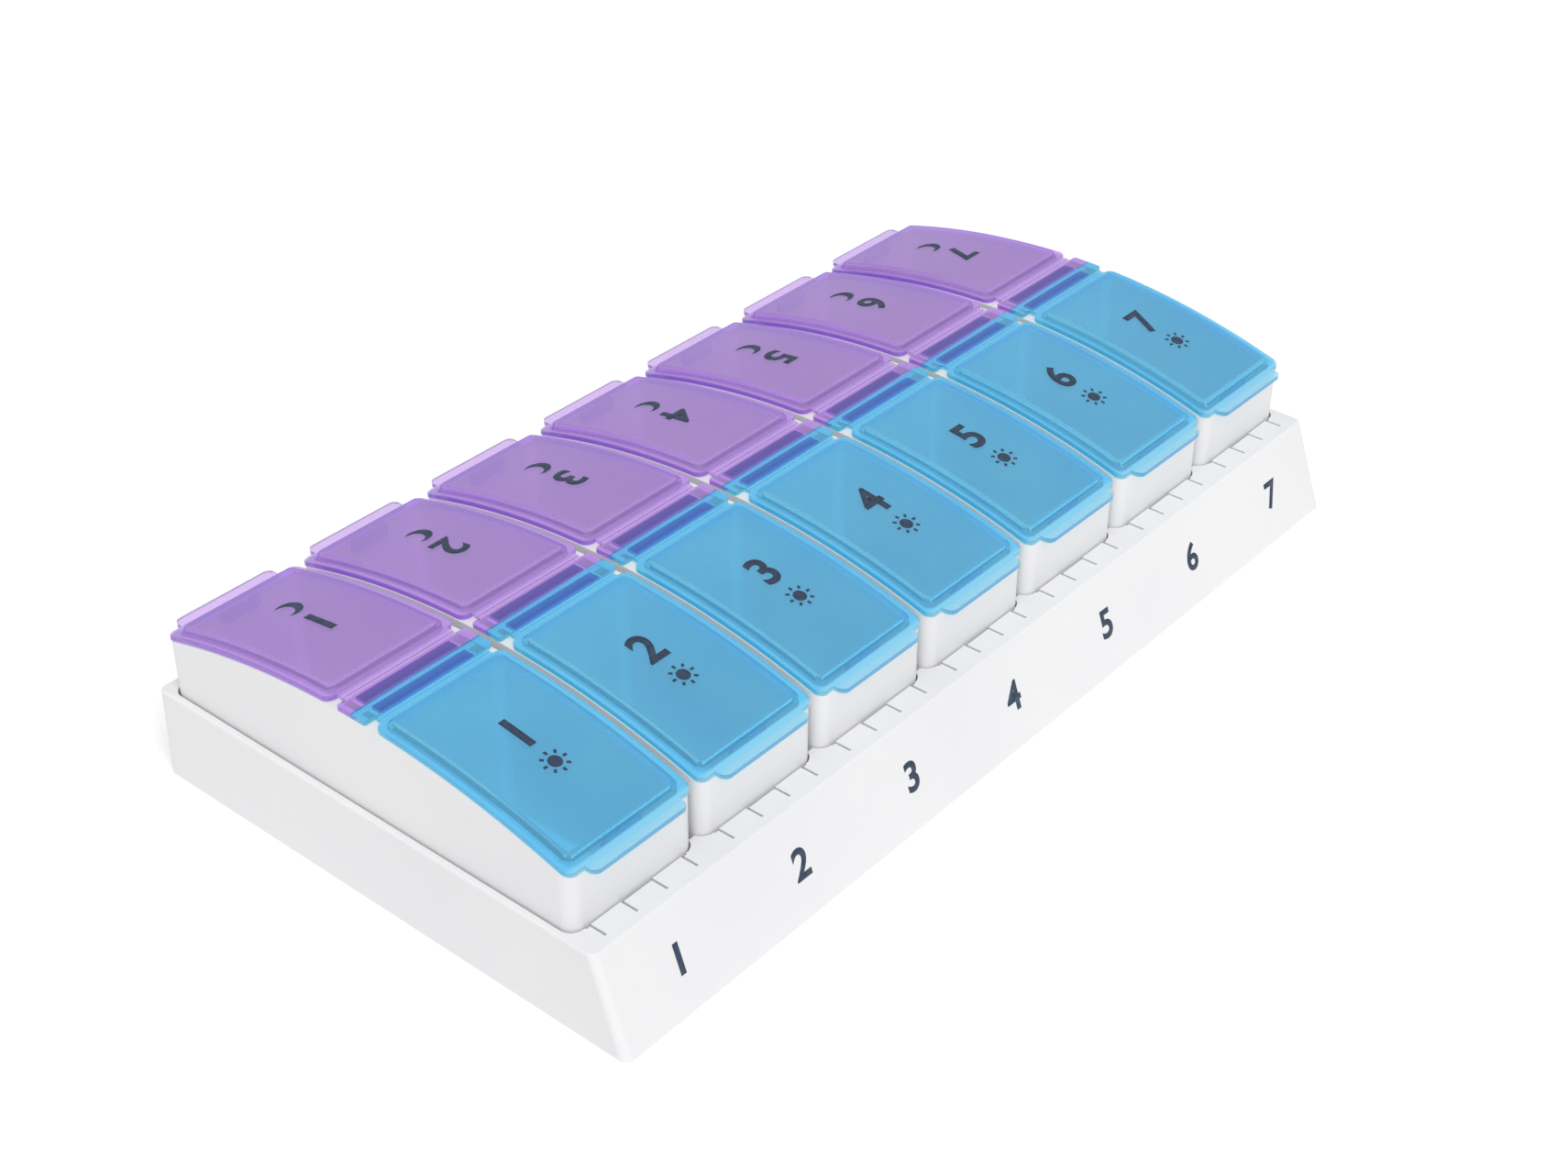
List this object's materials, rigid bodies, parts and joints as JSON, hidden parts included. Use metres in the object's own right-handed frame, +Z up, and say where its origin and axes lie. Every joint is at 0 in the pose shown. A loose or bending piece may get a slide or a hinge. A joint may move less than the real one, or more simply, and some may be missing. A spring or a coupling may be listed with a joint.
{
  "type": "weekly pill organizer",
  "caption": "Weekly pill organizer: a white tray with a sloped front holds lift-out pods, each with a morning and an evening box under tinted hinged lids.",
  "frame": {"origin": "middle of the whole organizer's box, on the table", "axes": "+X along the row of pods from the first day to the last, -Y towards the sloped front, +Z up"},
  "size_m": [0.219, 0.1156, 0.0397],
  "materials": {
    "tray_white": "moulded, fine satin",
    "pod_white": "moulded, fine satin",
    "am_blue": "translucent, moulded, polished",
    "pm_purple": "translucent, moulded, polished"
  },
  "bodies": {
    "tray": {"tray": "tray_white"},
    "pod_1": {"pod_1": "pod_white", "am_hinge_strip_1": "am_blue", "pm_hinge_strip_1": "pm_purple"},
    "am_lid_1": {"am_lid_1": "am_blue"},
    "pm_lid_1": {"pm_lid_1": "pm_purple"},
    "pod_2": {"pod_2": "pod_white", "am_hinge_strip_2": "am_blue", "pm_hinge_strip_2": "pm_purple"},
    "am_lid_2": {"am_lid_2": "am_blue"},
    "pm_lid_2": {"pm_lid_2": "pm_purple"},
    "pod_3": {"pod_3": "pod_white", "am_hinge_strip_3": "am_blue", "pm_hinge_strip_3": "pm_purple"},
    "am_lid_3": {"am_lid_3": "am_blue"},
    "pm_lid_3": {"pm_lid_3": "pm_purple"},
    "pod_4": {"pod_4": "pod_white", "am_hinge_strip_4": "am_blue", "pm_hinge_strip_4": "pm_purple"},
    "am_lid_4": {"am_lid_4": "am_blue"},
    "pm_lid_4": {"pm_lid_4": "pm_purple"},
    "pod_5": {"pod_5": "pod_white", "am_hinge_strip_5": "am_blue", "pm_hinge_strip_5": "pm_purple"},
    "am_lid_5": {"am_lid_5": "am_blue"},
    "pm_lid_5": {"pm_lid_5": "pm_purple"},
    "pod_6": {"pod_6": "pod_white", "am_hinge_strip_6": "am_blue", "pm_hinge_strip_6": "pm_purple"},
    "am_lid_6": {"am_lid_6": "am_blue"},
    "pm_lid_6": {"pm_lid_6": "pm_purple"},
    "pod_7": {"pod_7": "pod_white", "am_hinge_strip_7": "am_blue", "pm_hinge_strip_7": "pm_purple"},
    "am_lid_7": {"am_lid_7": "am_blue"},
    "pm_lid_7": {"pm_lid_7": "pm_purple"}
  },
  "joints": [
    {"name": "pod_1_lift", "type": "slide", "parent": "tray", "child": "pod_1", "axis": [0, 0, 1], "range_m": [0, 0.04]},
    {"name": "am_lid_1_hinge", "type": "hinge", "parent": "pod_1", "child": "am_lid_1", "pos_m": [-0.093, 0.00045, 0.03828], "axis": [-1, 0, 0], "range_deg": [0, 100]},
    {"name": "pm_lid_1_hinge", "type": "hinge", "parent": "pod_1", "child": "pm_lid_1", "pos_m": [-0.093, 0.00945, 0.03828], "axis": [1, 0, 0], "range_deg": [0, 100]},
    {"name": "pod_2_lift", "type": "slide", "parent": "tray", "child": "pod_2", "axis": [0, 0, 1], "range_m": [0, 0.04]},
    {"name": "am_lid_2_hinge", "type": "hinge", "parent": "pod_2", "child": "am_lid_2", "pos_m": [-0.062, 0.00045, 0.03828], "axis": [-1, 0, 0], "range_deg": [0, 100]},
    {"name": "pm_lid_2_hinge", "type": "hinge", "parent": "pod_2", "child": "pm_lid_2", "pos_m": [-0.062, 0.00945, 0.03828], "axis": [1, 0, 0], "range_deg": [0, 100]},
    {"name": "pod_3_lift", "type": "slide", "parent": "tray", "child": "pod_3", "axis": [0, 0, 1], "range_m": [0, 0.04]},
    {"name": "am_lid_3_hinge", "type": "hinge", "parent": "pod_3", "child": "am_lid_3", "pos_m": [-0.031, 0.00045, 0.03828], "axis": [-1, 0, 0], "range_deg": [0, 100]},
    {"name": "pm_lid_3_hinge", "type": "hinge", "parent": "pod_3", "child": "pm_lid_3", "pos_m": [-0.031, 0.00945, 0.03828], "axis": [1, 0, 0], "range_deg": [0, 100]},
    {"name": "pod_4_lift", "type": "slide", "parent": "tray", "child": "pod_4", "axis": [0, 0, 1], "range_m": [0, 0.04]},
    {"name": "am_lid_4_hinge", "type": "hinge", "parent": "pod_4", "child": "am_lid_4", "pos_m": [0, 0.00045, 0.03828], "axis": [-1, 0, 0], "range_deg": [0, 100]},
    {"name": "pm_lid_4_hinge", "type": "hinge", "parent": "pod_4", "child": "pm_lid_4", "pos_m": [0, 0.00945, 0.03828], "axis": [1, 0, 0], "range_deg": [0, 100]},
    {"name": "pod_5_lift", "type": "slide", "parent": "tray", "child": "pod_5", "axis": [0, 0, 1], "range_m": [0, 0.04]},
    {"name": "am_lid_5_hinge", "type": "hinge", "parent": "pod_5", "child": "am_lid_5", "pos_m": [0.031, 0.00045, 0.03828], "axis": [-1, 0, 0], "range_deg": [0, 100]},
    {"name": "pm_lid_5_hinge", "type": "hinge", "parent": "pod_5", "child": "pm_lid_5", "pos_m": [0.031, 0.00945, 0.03828], "axis": [1, 0, 0], "range_deg": [0, 100]},
    {"name": "pod_6_lift", "type": "slide", "parent": "tray", "child": "pod_6", "axis": [0, 0, 1], "range_m": [0, 0.04]},
    {"name": "am_lid_6_hinge", "type": "hinge", "parent": "pod_6", "child": "am_lid_6", "pos_m": [0.062, 0.00045, 0.03828], "axis": [-1, 0, 0], "range_deg": [0, 100]},
    {"name": "pm_lid_6_hinge", "type": "hinge", "parent": "pod_6", "child": "pm_lid_6", "pos_m": [0.062, 0.00945, 0.03828], "axis": [1, 0, 0], "range_deg": [0, 100]},
    {"name": "pod_7_lift", "type": "slide", "parent": "tray", "child": "pod_7", "axis": [0, 0, 1], "range_m": [0, 0.04]},
    {"name": "am_lid_7_hinge", "type": "hinge", "parent": "pod_7", "child": "am_lid_7", "pos_m": [0.093, 0.00045, 0.03828], "axis": [-1, 0, 0], "range_deg": [0, 100]},
    {"name": "pm_lid_7_hinge", "type": "hinge", "parent": "pod_7", "child": "pm_lid_7", "pos_m": [0.093, 0.00945, 0.03828], "axis": [1, 0, 0], "range_deg": [0, 100]}
  ]
}
